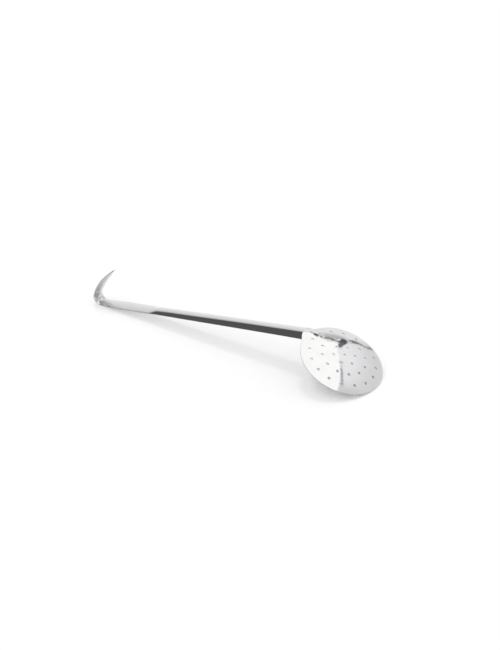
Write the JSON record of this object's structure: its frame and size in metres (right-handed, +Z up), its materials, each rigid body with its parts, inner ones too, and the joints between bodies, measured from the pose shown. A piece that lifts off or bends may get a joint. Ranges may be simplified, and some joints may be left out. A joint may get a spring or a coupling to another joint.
{
  "type": "kitchen skimmer",
  "caption": "Kitchen skimmer: shallow pierced round dish and a long arched strip handle that ends in a pointed hanging hook.",
  "frame": {"origin": "middle of the footprint, on the surface that the skimmer lies on", "axes": "+X along the handle towards the dish, +Y to the left of it, +Z up"},
  "size_m": [0.4794, 0.12, 0.0631],
  "materials": {
    "dish_steel": "polished stainless sheet with fine round wiping scratches",
    "handle_steel": "polished stainless strip with fine lengthwise scratches"
  },
  "bodies": {
    "root": {"perforated_dish": "dish_steel", "handle": "handle_steel"}
  },
  "joints": []
}
